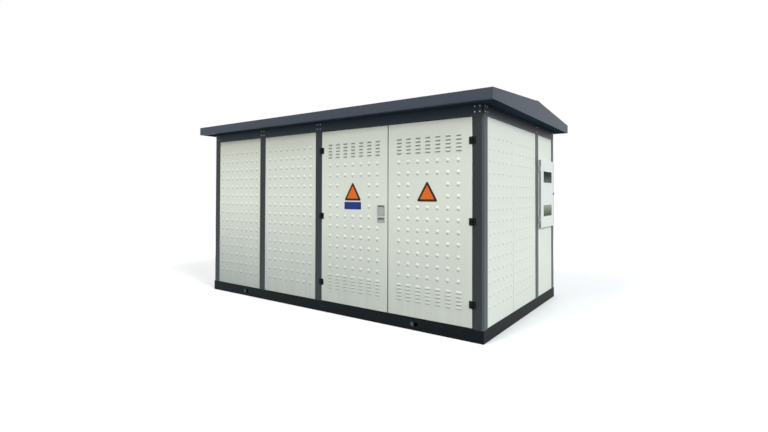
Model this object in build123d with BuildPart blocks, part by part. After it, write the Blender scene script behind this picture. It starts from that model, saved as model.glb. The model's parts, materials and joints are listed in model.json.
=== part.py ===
"""Housing of a compact box substation, with louvred doors, a meter box and a low gable roof.

Millimetres. The origin is the middle of the footprint at ground level, +X runs along the
length towards the end with the meter box, the doors face -Y, and +Z is up.
"""

from build123d import *
import os

os.makedirs("parts", exist_ok=True)

# Overall body, over the outer faces of the posts
body_length = 4000
body_width = 2370
base_height = 120
bay_height = 1940
rail_height = 106

# Bays along the front and back, from the left, and along both ends
corner_front = 104
corner_end = 96
post_width = 96
bay_1_width = 856
bay_2_width = 882
seam_offset = -5
end_first_panel = 709
end_narrow_bay = 601

# Sections
post_depth = 50
post_wall = 3
corner_radius = 24
channel_flange = 75
channel_web = 6
channel_flange_thickness = 7
cross_member_width = 60
cross_member_count = 3
floor_thickness = 4
floor_clearance = 2
lifting_hole_radius = 25
lifting_hole_inset = 710

# Roof
overhang_end = 144
overhang_front = 150
fascia_height = 102
roof_rise = 101
roof_sheet = 3
fascia_lip = 30
ceiling_thickness = 2
ridge_wing = 90
ridge_sheet = 2

# Folded wall panels and door leaves
panel_sheet = 2
panel_recess = 6
panel_depth = 40
panel_lip = 22
leaf_sheet = 2
leaf_depth = 40
leaf_lip = 22
leaf_edge_gap = 6
leaf_seam_gap = 8
stiffener_width = 60
stiffener_depth = 22
stiffener_offset = 330

# Louvres pressed through the leaves
louvre_width = 56
louvre_height = 20
louvre_projection = 8
louvre_end_slope = 6
louvre_column_pitch = 110
louvre_row_pitch = 35.5
louvre_rows = 5
louvre_side_margin = 120
louvre_from_top = 223
louvre_from_bottom = 240

# Door stops behind the leaf edges
stop_width = 30
stop_thickness = 3
stop_clearance = 5
stop_end_gap = 2

# Hinges of the two leaves
hinge_height = 68
hinge_knuckle_radius = 8
hinge_end_knuckle = 20
hinge_axial_gap = 1
hinge_plate_width = 24
hinge_plate_thickness = 5
hinge_pin_radius = 3
hinge_pin_clearance = 0.05
hinge_low = 220
hinge_middle = 973
hinge_high = 1717

# Flat lock on the left leaf, with its case and rods behind the sheet
lock_width = 92
lock_height = 184
lock_plate = 6
lock_corner = 6
lock_from_seam = 41
lock_bottom = 925
lock_rim = 6
lock_pocket_depth = 4
lock_foot = 32
lock_slot = 19
lock_lever_height = 112
lock_lever_proud = 3
lock_lever_bevel = 22
lock_lever_gap = 2
lock_case_width = 62
lock_case_height = 130
lock_case_depth = 30
lock_cutout_clearance = 1
rod_width = 16
rod_thickness = 4
rod_clearance = 1
rod_end_inset = 1
rod_guide_wall = 3
rod_guide_length = 20

# Meter box in the narrow bay of the right end
meter_width = 568
meter_height = 823
meter_post_gap = 28
meter_bottom = 822
meter_rim_thickness = 6
meter_rim_width = 25
meter_case_depth = 180
meter_case_sheet = 2
meter_case_clearance = 1
meter_door_gap = 5
meter_door_depth = 20
meter_door_sheet = 2
meter_door_lip = 12
window_width = 368
window_height = 147
window_corner = 4
window_low = 126
window_high = 539
pane_lap = 12
pane_thickness = 4
meter_hinge_radius = 5
meter_hinge_offset = 6
meter_hinge_web = 6
meter_hinge_length = 30
meter_hinge_gap = 1
meter_hinge_from_end = 110
meter_pin_radius = 2.5
meter_pin_clearance = 0.05
knob_flange_radius = 12
knob_flange_thickness = 3
knob_grip_width = 20
knob_grip_thickness = 8
knob_length = 12
knob_from_edge = 24

# Places that follow from the sizes above
half_length = body_length / 2
half_width = body_width / 2
base_top = base_height
rail_bottom = base_top + bay_height
rail_top = rail_bottom + rail_height
bay_middle = base_top + bay_height / 2

left_bay_start = -half_length + corner_front
post_1_x = left_bay_start + bay_1_width + post_width / 2
post_2_x = post_1_x + post_width + bay_2_width
door_left = post_2_x + post_width / 2
door_right = half_length - corner_front
seam_x = (door_left + door_right) / 2 + seam_offset

end_start = -half_width + corner_end
end_stop = half_width - corner_end
end_seam_y = end_start + end_first_panel
end_post_y = end_stop - end_narrow_bay - post_width / 2
narrow_start = end_post_y + post_width / 2

leaf_bottom = base_top + leaf_edge_gap
leaf_top = rail_bottom - leaf_edge_gap
leaf_middle = (leaf_bottom + leaf_top) / 2
hinge_axis_y = -half_width - hinge_knuckle_radius
left_axis_x = door_left + leaf_edge_gap / 2
right_axis_x = door_right - leaf_edge_gap / 2
hinge_heights = [base_top + z for z in (hinge_low, hinge_middle, hinge_high)]
lock_x = seam_x - lock_from_seam - lock_width / 2
rod_seat_y = -half_width + leaf_sheet + stiffener_depth

roof_half_length = half_length + overhang_end
roof_half_width = half_width + overhang_front
fascia_bottom = rail_top - roof_sheet
eave_top = fascia_bottom + fascia_height
ridge_top = eave_top + roof_rise

meter_start = narrow_start + meter_post_gap
meter_middle_y = meter_start + meter_width / 2
meter_middle_z = base_top + meter_bottom + meter_height / 2
panel_face_x = half_length - panel_recess
rim_face_x = panel_face_x + meter_rim_thickness
meter_door_back_x = rim_face_x + meter_door_gap
meter_door_face_x = meter_door_back_x + meter_door_depth
meter_axis_x = (meter_door_back_x + meter_door_face_x) / 2 - meter_hinge_radius / 2
meter_axis_y = meter_start - meter_hinge_offset

low = (Align.MIN, Align.MIN)


def write(builder, name):
    """Label a finished piece and write it as its own file."""
    builder.part.label = name
    export_step(builder.part, f"parts/{name}.step")


def wall_plane(side, along, up, inset=0):
    """Plane on a wall's outer face: x runs to the right as seen from outside, y runs up."""
    if side == "front":
        return Plane(origin=(along, -half_width + inset, up), x_dir=(1, 0, 0), z_dir=(0, -1, 0))
    if side == "back":
        return Plane(origin=(along, half_width - inset, up), x_dir=(-1, 0, 0), z_dir=(0, 1, 0))
    if side == "right":
        return Plane(origin=(half_length - inset, along, up), x_dir=(0, 1, 0), z_dir=(1, 0, 0))
    return Plane(origin=(-half_length + inset, along, up), x_dir=(0, -1, 0), z_dir=(-1, 0, 0))


lock_face = wall_plane("front", lock_x, base_top + lock_bottom + lock_height / 2)


# Base frame: four folded channels, webs outwards, mitred at the corners
def base_channel(name, start, along, inward, length, hole_places):
    section = Plane(origin=start, x_dir=inward, z_dir=along)
    web_face = Plane(origin=start, x_dir=along, z_dir=-inward)
    with BuildPart() as channel:
        with BuildSketch(section):
            Rectangle(channel_flange, base_height, align=low)
            with Locations((channel_web, channel_flange_thickness)):
                Rectangle(
                    channel_flange - channel_web,
                    base_height - 2 * channel_flange_thickness,
                    align=low,
                    mode=Mode.SUBTRACT,
                )
        extrude(amount=length)
        split(bisect_by=Plane(origin=start, z_dir=along - inward), keep=Keep.TOP)
        split(bisect_by=Plane(origin=start + along * length, z_dir=-along - inward), keep=Keep.TOP)
        if hole_places:
            with BuildSketch(web_face):
                with Locations(*[(place, base_height / 2) for place in hole_places]):
                    Circle(lifting_hole_radius)
            extrude(amount=-channel_web, mode=Mode.SUBTRACT)
    write(channel, name)


x_axis, y_axis = Vector(1, 0, 0), Vector(0, 1, 0)
lifting_places = [lifting_hole_inset, body_length - lifting_hole_inset]
base_channel(
    "base_front_channel", Vector(-half_length, -half_width), x_axis, y_axis, body_length, lifting_places
)
base_channel("base_right_channel", Vector(half_length, -half_width), y_axis, -x_axis, body_width, [])
base_channel(
    "base_back_channel", Vector(half_length, half_width), -x_axis, -y_axis, body_length, lifting_places
)
base_channel("base_left_channel", Vector(-half_length, half_width), -y_axis, x_axis, body_width, [])

cross_length = body_width - 2 * channel_flange
cross_spacing = body_length / (cross_member_count + 1)
with BuildPart() as cross_members:
    with BuildSketch(Plane.XZ.offset(-cross_length / 2)):
        with GridLocations(cross_spacing, 1, cross_member_count, 1):
            with Locations((0, base_height / 2)):
                Rectangle(cross_member_width, base_height)
            with Locations((channel_web, base_height / 2)):
                Rectangle(
                    cross_member_width,
                    base_height - 2 * channel_flange_thickness,
                    mode=Mode.SUBTRACT,
                )
    extrude(amount=cross_length)
write(cross_members, "base_cross_members")

# Floor plate, lying on the channels and notched round the corner posts
floor_edge = post_depth + floor_clearance
notch_x = corner_front + floor_clearance
notch_y = corner_end + floor_clearance
with BuildPart() as floor_plate:
    with BuildSketch(Plane.XY.offset(base_top)):
        Rectangle(body_length - 2 * floor_edge, body_width - 2 * floor_edge)
        with GridLocations(body_length - notch_x, body_width - notch_y, 2, 2):
            Rectangle(notch_x, notch_y, mode=Mode.SUBTRACT)
    extrude(amount=floor_thickness)
write(floor_plate, "floor_plate")


# Posts: hollow sections, the corner ones with a rounded outer edge
def corner_post(name, side_x, side_y):
    centre = (side_x * (half_length - corner_front / 2), side_y * (half_width - corner_end / 2))
    with BuildPart() as post:
        with BuildSketch(Plane.XY.offset(base_top)) as section:
            with Locations(centre):
                Rectangle(corner_front, corner_end)
            outer_corner = section.vertices().sort_by(lambda v: side_x * v.X + side_y * v.Y)[-1]
            fillet(outer_corner, radius=corner_radius)
            offset(amount=-post_wall, mode=Mode.SUBTRACT)
        extrude(amount=bay_height + rail_height)
    write(post, name)


corner_post("front_left_corner_post", -1, -1)
corner_post("front_right_corner_post", 1, -1)
corner_post("back_left_corner_post", -1, 1)
corner_post("back_right_corner_post", 1, 1)


def bay_post(name, side, along):
    with BuildPart() as post:
        with BuildSketch(wall_plane(side, along, bay_middle)):
            Rectangle(post_width, bay_height)
        extrude(amount=-post_depth)
        with BuildSketch(wall_plane(side, along, bay_middle, post_wall)):
            Rectangle(post_width - 2 * post_wall, bay_height)
        extrude(amount=-(post_depth - 2 * post_wall), mode=Mode.SUBTRACT)
    write(post, name)


bay_post("front_outer_post", "front", post_1_x)
bay_post("front_door_post", "front", post_2_x)
bay_post("back_outer_post", "back", post_1_x)
bay_post("back_inner_post", "back", post_2_x)
bay_post("right_end_post", "right", end_post_y)
bay_post("left_end_post", "left", end_post_y)


# Top rails, running between the corner posts over the bays
def top_rail(name, side, length):
    rail_middle = rail_bottom + rail_height / 2
    with BuildPart() as rail:
        with BuildSketch(wall_plane(side, 0, rail_middle)):
            Rectangle(length, rail_height)
        extrude(amount=-post_depth)
        with BuildSketch(wall_plane(side, 0, rail_middle, post_wall)):
            Rectangle(length, rail_height - 2 * post_wall)
        extrude(amount=-(post_depth - 2 * post_wall), mode=Mode.SUBTRACT)
    write(rail, name)


rail_length_front = body_length - 2 * corner_front
rail_length_end = body_width - 2 * corner_end
top_rail("front_top_rail", "front", rail_length_front)
top_rail("back_top_rail", "back", rail_length_front)
top_rail("left_top_rail", "left", rail_length_end)
top_rail("right_top_rail", "right", rail_length_end)


def folded_tray(face, width, height, depth, sheet, lip):
    """Sheet folded back round its four edges and in again at the rear."""
    with BuildPart() as tray:
        with BuildSketch(face):
            Rectangle(width, height)
        extrude(amount=-depth)
        with BuildSketch(face.offset(-sheet)):
            Rectangle(width - 2 * sheet, height - 2 * sheet)
        extrude(amount=-(depth - 2 * sheet), mode=Mode.SUBTRACT)
        with BuildSketch(face.offset(-(depth - sheet))):
            Rectangle(width - 2 * lip, height - 2 * lip)
        extrude(amount=-sheet, mode=Mode.SUBTRACT)
    return tray


# Fixed wall panels, one to a bay or two to a wide one
def wall_panel(name, side, start, stop):
    face = wall_plane(side, (start + stop) / 2, bay_middle, panel_recess)
    write(folded_tray(face, stop - start, bay_height, panel_depth, panel_sheet, panel_lip), name)


bay_edges = [
    (left_bay_start, post_1_x - post_width / 2),
    (post_1_x + post_width / 2, post_2_x - post_width / 2),
    (door_left, seam_x),
    (seam_x, door_right),
]
wall_panel("front_outer_panel", "front", *bay_edges[0])
wall_panel("front_inner_panel", "front", *bay_edges[1])
for number, (start, stop) in enumerate(bay_edges, 1):
    wall_panel(f"back_panel_{number}", "back", start, stop)

end_edges = [(end_start, end_seam_y), (end_seam_y, end_post_y - post_width / 2)]
for side in ("left", "right"):
    wall_panel(f"{side}_front_panel", side, *end_edges[0])
    wall_panel(f"{side}_middle_panel", side, *end_edges[1])
wall_panel("left_narrow_panel", "left", narrow_start, end_stop)

meter_opening_width = meter_width - 2 * meter_rim_width
meter_opening_height = meter_height - 2 * meter_rim_width
narrow_tray = folded_tray(
    wall_plane("right", (narrow_start + end_stop) / 2, bay_middle, panel_recess),
    end_stop - narrow_start,
    bay_height,
    panel_depth,
    panel_sheet,
    panel_lip,
)
with BuildPart() as meter_panel:
    add(narrow_tray.part)
    with BuildSketch(wall_plane("right", meter_middle_y, meter_middle_z, panel_recess)):
        Rectangle(meter_opening_width, meter_opening_height)
    extrude(amount=-panel_sheet, mode=Mode.SUBTRACT)
write(meter_panel, "right_meter_panel")


# Roof: two folded sheets with their eave fascias, two gable plates, a ceiling and a ridge cap
def roof_sheet_half(name, side_y):
    start = (-roof_half_length + roof_sheet, 0, 0)
    section = Plane(origin=start, x_dir=(0, side_y, 0), z_dir=(side_y, 0, 0))
    length = 2 * (roof_half_length - roof_sheet)
    with BuildPart() as sheet:
        with BuildSketch(section):
            with BuildLine():
                Polyline(
                    (0, ridge_top),
                    (roof_half_width, eave_top),
                    (roof_half_width, fascia_bottom),
                    (roof_half_width - fascia_lip, fascia_bottom),
                    (roof_half_width - fascia_lip, fascia_bottom + roof_sheet),
                    (roof_half_width - roof_sheet, fascia_bottom + roof_sheet),
                    (roof_half_width - roof_sheet, eave_top - roof_sheet),
                    (0, ridge_top - roof_sheet),
                    close=True,
                )
            make_face()
        extrude(amount=side_y * length)
    write(sheet, name)


roof_sheet_half("roof_front_sheet", -1)
roof_sheet_half("roof_back_sheet", 1)


def gable_plate(name, side_x):
    with BuildPart() as plate:
        with BuildSketch(Plane.YZ.offset(side_x * roof_half_length)):
            with BuildLine():
                Polyline(
                    (-roof_half_width, fascia_bottom),
                    (roof_half_width, fascia_bottom),
                    (roof_half_width, eave_top),
                    (0, ridge_top),
                    (-roof_half_width, eave_top),
                    close=True,
                )
            make_face()
        extrude(amount=-side_x * roof_sheet)
    write(plate, name)


gable_plate("left_gable_plate", -1)
gable_plate("right_gable_plate", 1)

with BuildPart() as ceiling:
    with BuildSketch(Plane.XY.offset(rail_top)):
        Rectangle(2 * (roof_half_length - roof_sheet), 2 * (roof_half_width - roof_sheet))
    extrude(amount=ceiling_thickness)
write(ceiling, "ceiling_panel")

ridge_drop = ridge_wing * roof_rise / roof_half_width
with BuildPart() as ridge_cap:
    with BuildSketch(Plane.YZ.offset(-roof_half_length)):
        with BuildLine():
            Polyline(
                (-ridge_wing, ridge_top - ridge_drop),
                (0, ridge_top),
                (ridge_wing, ridge_top - ridge_drop),
                (ridge_wing, ridge_top - ridge_drop + ridge_sheet),
                (0, ridge_top + ridge_sheet),
                (-ridge_wing, ridge_top - ridge_drop + ridge_sheet),
                close=True,
            )
        make_face()
    extrude(amount=2 * roof_half_length)
write(ridge_cap, "ridge_cap")


# One pressed louvre: a hood that leans out to its mouth, and the throat that opens it from behind
def louvre_form(width, profile):
    """Side profile drawn out to a width at the sheet, with both ends sloping in towards the mouth."""
    with BuildPart() as form:
        with BuildSketch(Plane.YZ):
            with BuildLine():
                Polyline(*profile, close=True)
            make_face()
        extrude(amount=louvre_width / 2, both=True)
        for side in (-1, 1):
            inward = Vector(-side * louvre_projection, 0, -louvre_end_slope)
            split(bisect_by=Plane(origin=(side * width / 2, 0, 0), z_dir=inward), keep=Keep.TOP)
    return form.part


def sheet_along(run):
    """Width of the sheet's edge where the sheet leans out by the projection over a run."""
    return leaf_sheet * (1 + (run / louvre_projection) ** 2) ** 0.5


hood_top = louvre_height / 2
hood_slope = louvre_height / louvre_projection
throat_top = hood_top - sheet_along(louvre_height)
mouth_reach = (throat_top + hood_top) / hood_slope
hood = louvre_form(
    louvre_width,
    [(-hood_top, 0), (hood_top, 0), (-hood_top, louvre_projection)],
)
throat = louvre_form(
    louvre_width - 2 * sheet_along(louvre_end_slope),
    [
        (-hood_top, -leaf_sheet),
        (throat_top + hood_slope * leaf_sheet, -leaf_sheet),
        (-hood_top, mouth_reach),
    ],
)


# Door leaf: a folded tray with two stiffeners behind it and a louvre field at the top and the bottom
def door_leaf(start, stop):
    width = stop - start
    height = leaf_top - leaf_bottom
    face = wall_plane("front", (start + stop) / 2, leaf_middle)
    columns = int((width - 2 * louvre_side_margin) // louvre_column_pitch) + 1
    fields = (height / 2 - louvre_from_top, louvre_from_bottom - height / 2)
    tray = folded_tray(face, width, height, leaf_depth, leaf_sheet, leaf_lip)
    with BuildPart() as leaf:
        add(tray.part)
        with BuildSketch(face.offset(-leaf_sheet)):
            with GridLocations(1, 2 * stiffener_offset, 1, 2):
                Rectangle(width - 2 * leaf_sheet, stiffener_width)
        extrude(amount=-stiffener_depth)
        with BuildSketch(face.offset(-leaf_sheet)):
            with GridLocations(1, 2 * stiffener_offset, 1, 2):
                Rectangle(width - 2 * leaf_sheet, stiffener_width - 2 * leaf_sheet)
        extrude(amount=-(stiffener_depth - leaf_sheet), mode=Mode.SUBTRACT)
        for field in fields:
            with Locations(face):
                with Locations((0, field, 0)):
                    with GridLocations(louvre_column_pitch, louvre_row_pitch, columns, louvre_rows):
                        add(hood)
        for field in fields:
            with Locations(face):
                with Locations((0, field, 0)):
                    with GridLocations(louvre_column_pitch, louvre_row_pitch, columns, louvre_rows):
                        add(throat, mode=Mode.SUBTRACT)
    return leaf


# The right leaf is plain; the left one is cut for the lock's case and rods, with a guide on each stiffener
write(door_leaf(seam_x + leaf_seam_gap / 2, door_right - leaf_edge_gap), "right_door_leaf")

plain_left_leaf = door_leaf(door_left + leaf_edge_gap, seam_x - leaf_seam_gap / 2)
with BuildPart() as left_leaf:
    add(plain_left_leaf.part)
    for side in (-1, 1):
        guide_middle = leaf_middle + side * stiffener_offset
        with BuildSketch(Plane.XY.offset(guide_middle - rod_guide_length / 2)):
            with Locations((lock_x, rod_seat_y)):
                Rectangle(
                    rod_width + 2 * (rod_clearance + rod_guide_wall),
                    rod_thickness + 2 * rod_clearance + rod_guide_wall,
                    align=(Align.CENTER, Align.MIN),
                )
                Rectangle(
                    rod_width + 2 * rod_clearance,
                    rod_thickness + 2 * rod_clearance,
                    align=(Align.CENTER, Align.MIN),
                    mode=Mode.SUBTRACT,
                )
        extrude(amount=rod_guide_length)
    with BuildSketch(lock_face):
        Rectangle(
            lock_case_width + 2 * lock_cutout_clearance, lock_case_height + 2 * lock_cutout_clearance
        )
    extrude(amount=-leaf_sheet, mode=Mode.SUBTRACT)
    with BuildSketch(Plane.XY.offset(leaf_bottom)):
        with Locations((lock_x, rod_seat_y)):
            Rectangle(
                rod_width + 2 * rod_clearance,
                rod_thickness + 2 * rod_clearance,
                align=(Align.CENTER, Align.MIN),
            )
    extrude(amount=leaf_top - leaf_bottom, mode=Mode.SUBTRACT)
write(left_leaf, "left_door_leaf")

# Stops for the leaves, one up each side of the doorway and one across the top
stop_y = -half_width + leaf_depth + stop_clearance + stop_thickness
stop_plane = Plane(origin=(0, stop_y, 0), x_dir=(1, 0, 0), z_dir=(0, -1, 0))
with BuildPart() as door_stops:
    with BuildSketch(stop_plane):
        with Locations((door_left + stop_width / 2, bay_middle), (door_right - stop_width / 2, bay_middle)):
            Rectangle(stop_width, bay_height)
        with Locations(((door_left + door_right) / 2, rail_bottom - stop_width / 2)):
            Rectangle(door_right - door_left - 2 * (stop_width + stop_end_gap), stop_width)
    extrude(amount=stop_thickness)
write(door_stops, "door_stops")


# Surface hinges: a plate, two knuckles and the pin on the post, a plate and the middle knuckle on the leaf
def hinge_half(axis_x, side_x, moving):
    """Halves of the three hinges on one axis; side_x points from the axis to the half's plate."""
    middle_knuckle = hinge_height - 2 * (hinge_end_knuckle + hinge_axial_gap)
    plate_start = hinge_knuckle_radius + hinge_axial_gap
    plate_middle = side_x * (plate_start + hinge_plate_width / 2)
    seat = hinge_knuckle_radius - hinge_plate_thickness / 2
    if moving:
        knuckles = [(hinge_height / 2, middle_knuckle)]
    else:
        end_middle = hinge_end_knuckle / 2
        knuckles = [(end_middle, hinge_end_knuckle), (hinge_height - end_middle, hinge_end_knuckle)]
    with BuildPart() as half:
        for height in hinge_heights:
            foot = height - hinge_height / 2
            with BuildSketch(Plane.XY.offset(foot)):
                with Locations((axis_x + plate_middle, hinge_axis_y + seat)):
                    Rectangle(hinge_plate_width, hinge_plate_thickness)
            extrude(amount=hinge_height)
            for middle, length in knuckles:
                with BuildSketch(Plane.XY.offset(foot + middle - length / 2)):
                    with Locations((axis_x, hinge_axis_y)):
                        Circle(hinge_knuckle_radius)
                    with Locations((axis_x + side_x * plate_start / 2, hinge_axis_y + seat)):
                        Rectangle(plate_start, hinge_plate_thickness)
                extrude(amount=length)
            with BuildSketch(Plane.XY.offset(foot + hinge_end_knuckle)):
                with Locations((axis_x, hinge_axis_y)):
                    Circle(hinge_pin_radius + hinge_pin_clearance if moving else hinge_pin_radius)
            extrude(
                amount=hinge_height - 2 * hinge_end_knuckle,
                mode=Mode.SUBTRACT if moving else Mode.ADD,
            )
    return half


post_halves = [hinge_half(left_axis_x, -1, False), hinge_half(right_axis_x, 1, False)]
with BuildPart() as fixed_hinges:
    for half in post_halves:
        add(half.part)
write(fixed_hinges, "fixed_hinge_plates")
write(hinge_half(left_axis_x, 1, True), "left_hinge_leaves")
write(hinge_half(right_axis_x, -1, True), "right_hinge_leaves")

# Flat push lock: a rimmed plate with a pocket and its lever, the case behind it, and the locking rods
pocket_height = lock_height - lock_foot - lock_rim
lever_width = lock_width - 2 * (lock_rim + lock_lever_gap)
lever_bottom = lock_foot + lock_slot - lock_height / 2
lever_side = Plane(
    origin=lock_face.from_local_coords((lever_width / 2, lever_bottom, lock_plate - lock_pocket_depth)),
    x_dir=(0, -1, 0),
    z_dir=(-1, 0, 0),
)
with BuildPart() as lock:
    with BuildSketch(lock_face):
        RectangleRounded(lock_width, lock_height, lock_corner)
    extrude(amount=lock_plate)
    with BuildSketch(lock_face.offset(lock_plate)):
        with Locations((0, (lock_foot - lock_rim) / 2)):
            Rectangle(lock_width - 2 * lock_rim, pocket_height)
    extrude(amount=-lock_pocket_depth, mode=Mode.SUBTRACT)
    with BuildSketch(lever_side):
        with BuildLine():
            Polyline(
                (0, 0),
                (lock_pocket_depth, 0),
                (lock_pocket_depth + lock_lever_proud, lock_lever_bevel),
                (lock_pocket_depth + lock_lever_proud, lock_lever_height),
                (0, lock_lever_height),
                close=True,
            )
        make_face()
    extrude(amount=lever_width)
    with BuildSketch(lock_face):
        Rectangle(lock_case_width, lock_case_height)
    extrude(amount=-lock_case_depth)
    with BuildSketch(Plane.XY.offset(leaf_bottom + rod_end_inset)):
        with Locations((lock_x, rod_seat_y + rod_clearance)):
            Rectangle(rod_width, rod_thickness, align=(Align.CENTER, Align.MIN))
    extrude(amount=leaf_top - leaf_bottom - 2 * rod_end_inset)
write(lock, "door_lock")

# Meter box: a case with a rim on the panel and two knuckles, and a glazed door in front of it
case_width = meter_opening_width - 2 * meter_case_clearance
case_height = meter_opening_height - 2 * meter_case_clearance
rim_plane = wall_plane("right", meter_middle_y, meter_middle_z, panel_recess)
knuckle_heights = [
    meter_middle_z + side * (meter_height / 2 - meter_hinge_from_end) for side in (-1, 1)
]
with BuildPart() as meter_case:
    with BuildSketch(rim_plane):
        Rectangle(meter_width, meter_height)
    extrude(amount=meter_rim_thickness)
    with BuildSketch(rim_plane):
        Rectangle(case_width, case_height)
    extrude(amount=-meter_case_depth)
    with BuildSketch(rim_plane.offset(meter_rim_thickness)):
        Rectangle(case_width - 2 * meter_case_sheet, case_height - 2 * meter_case_sheet)
    extrude(amount=-(meter_rim_thickness + meter_case_depth - meter_case_sheet), mode=Mode.SUBTRACT)
    for height in knuckle_heights:
        with BuildSketch(Plane.XY.offset(height - meter_hinge_length - meter_hinge_gap / 2)):
            with Locations((meter_axis_x, meter_axis_y)):
                Circle(meter_hinge_radius)
            with Locations((panel_face_x, meter_axis_y - meter_hinge_web / 2)):
                Rectangle(meter_axis_x - panel_face_x, meter_hinge_web, align=low)
            with Locations((panel_face_x, meter_axis_y)):
                Rectangle(meter_rim_thickness, meter_start - meter_axis_y, align=low)
        extrude(amount=meter_hinge_length)
        with BuildSketch(Plane.XY.offset(height - meter_hinge_gap / 2)):
            with Locations((meter_axis_x, meter_axis_y)):
                Circle(meter_pin_radius)
        extrude(amount=meter_hinge_length + meter_hinge_gap)
write(meter_case, "meter_case")

door_face = Plane(
    origin=(meter_door_face_x, meter_middle_y, meter_middle_z), x_dir=(0, 1, 0), z_dir=(1, 0, 0)
)
window_middles = [z + window_height / 2 - meter_height / 2 for z in (window_low, window_high)]
door_tray = folded_tray(
    door_face, meter_width, meter_height, meter_door_depth, meter_door_sheet, meter_door_lip
)
with BuildPart() as meter_door:
    add(door_tray.part)
    with BuildSketch(door_face):
        with Locations(*[(0, middle) for middle in window_middles]):
            RectangleRounded(window_width, window_height, window_corner)
    extrude(amount=-meter_door_sheet, mode=Mode.SUBTRACT)
    for height in knuckle_heights:
        with BuildSketch(Plane.XY.offset(height + meter_hinge_gap / 2)):
            with Locations((meter_axis_x, meter_axis_y)):
                Circle(meter_hinge_radius)
            with Locations((meter_axis_x - meter_hinge_web / 2, meter_axis_y)):
                Rectangle(meter_hinge_web, meter_start - meter_axis_y, align=low)
            with Locations((meter_axis_x, meter_axis_y)):
                Circle(meter_pin_radius + meter_pin_clearance, mode=Mode.SUBTRACT)
        extrude(amount=meter_hinge_length)
write(meter_door, "meter_door")

with BuildPart() as panes:
    with BuildSketch(door_face.offset(-meter_door_sheet)):
        with Locations(*[(0, middle) for middle in window_middles]):
            Rectangle(window_width + 2 * pane_lap, window_height + 2 * pane_lap)
    extrude(amount=-pane_thickness)
write(panes, "meter_window_panes")

with BuildPart() as knob:
    with BuildSketch(door_face):
        with Locations((meter_width / 2 - knob_from_edge, 0)):
            Circle(knob_flange_radius)
    extrude(amount=knob_flange_thickness)
    with BuildSketch(door_face):
        with Locations((meter_width / 2 - knob_from_edge, 0)):
            SlotOverall(knob_grip_width, knob_grip_thickness, rotation=90)
    extrude(amount=knob_length)
write(knob, "meter_knob")
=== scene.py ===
"""Housing of a compact box substation: finishes, dimples, fasteners, plates and window frames."""

import json
import math

import bmesh
import bpy
from bpy.props import FloatProperty, FloatVectorProperty, IntProperty, PointerProperty
from mathutils import Matrix, Quaternion, Vector


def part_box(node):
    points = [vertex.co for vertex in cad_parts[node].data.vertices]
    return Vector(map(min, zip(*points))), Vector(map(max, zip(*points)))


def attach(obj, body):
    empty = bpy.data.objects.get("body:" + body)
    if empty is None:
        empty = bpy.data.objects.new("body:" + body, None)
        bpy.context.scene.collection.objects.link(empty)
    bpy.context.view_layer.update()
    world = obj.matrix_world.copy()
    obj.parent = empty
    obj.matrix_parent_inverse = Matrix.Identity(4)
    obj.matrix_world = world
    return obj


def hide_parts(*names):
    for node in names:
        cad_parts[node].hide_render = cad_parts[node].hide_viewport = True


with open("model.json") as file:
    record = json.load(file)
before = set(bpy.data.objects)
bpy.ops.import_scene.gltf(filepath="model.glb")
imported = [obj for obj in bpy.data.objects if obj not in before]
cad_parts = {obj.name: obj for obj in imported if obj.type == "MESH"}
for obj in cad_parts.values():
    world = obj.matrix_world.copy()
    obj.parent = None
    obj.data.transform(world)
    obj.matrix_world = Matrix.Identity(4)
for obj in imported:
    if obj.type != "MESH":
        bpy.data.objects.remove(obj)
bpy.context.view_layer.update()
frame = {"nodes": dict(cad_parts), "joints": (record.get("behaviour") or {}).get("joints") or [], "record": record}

bl_info = {
    "name": "Box Substation Housing",
    "version": (1, 0, 0),
    "blender": (4, 5, 0),
    "location": "View3D > Sidebar > Substation",
    "description": "Dresses the housing of a compact box substation",
    "category": "Object",
}

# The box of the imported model, and the places that the pieces below are set from
FRONT_FACE_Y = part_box("front_door_post")[0].y
BACK_FACE_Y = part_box("back_inner_post")[1].y
RIGHT_FACE_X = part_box("right_end_post")[1].x
LEFT_FACE_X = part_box("left_end_post")[0].x
BAY_BOTTOM, BAY_TOP = (corner.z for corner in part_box("front_outer_panel"))
RAIL_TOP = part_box("front_top_rail")[1].z
LIFTING_HOLES = sorted({
    (mount["pos_m"][0], mount["pos_m"][2]) for mount in frame["record"]["mounts"]
    if mount["name"].startswith("lifting_hole")
})

# Headings of the four walls, turned about the vertical from the front
HEADINGS = {"front": 0.0, "right": math.pi / 2, "back": math.pi, "left": -math.pi / 2}


def tint(name, description, *screen):
    """A colour property, given as a screen colour from 0 to 255 and kept as a linear one."""
    shares = [level / 255 for level in screen]
    linear = [share / 12.92 if share <= 0.04045 else ((share + 0.055) / 1.055) ** 2.4 for share in shares]
    return FloatVectorProperty(
        name=name, description=description, default=linear, min=0.0, max=1.0, size=3, subtype="COLOR"
    )


def metres(name, description, default):
    return FloatProperty(name=name, description=description, default=default, min=0.0, unit="LENGTH")


def number(name, description, default, subtype="NONE"):
    return FloatProperty(name=name, description=description, default=default, subtype=subtype)


def count(name, description, default):
    return IntProperty(name=name, description=description, default=default, min=1)


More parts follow.
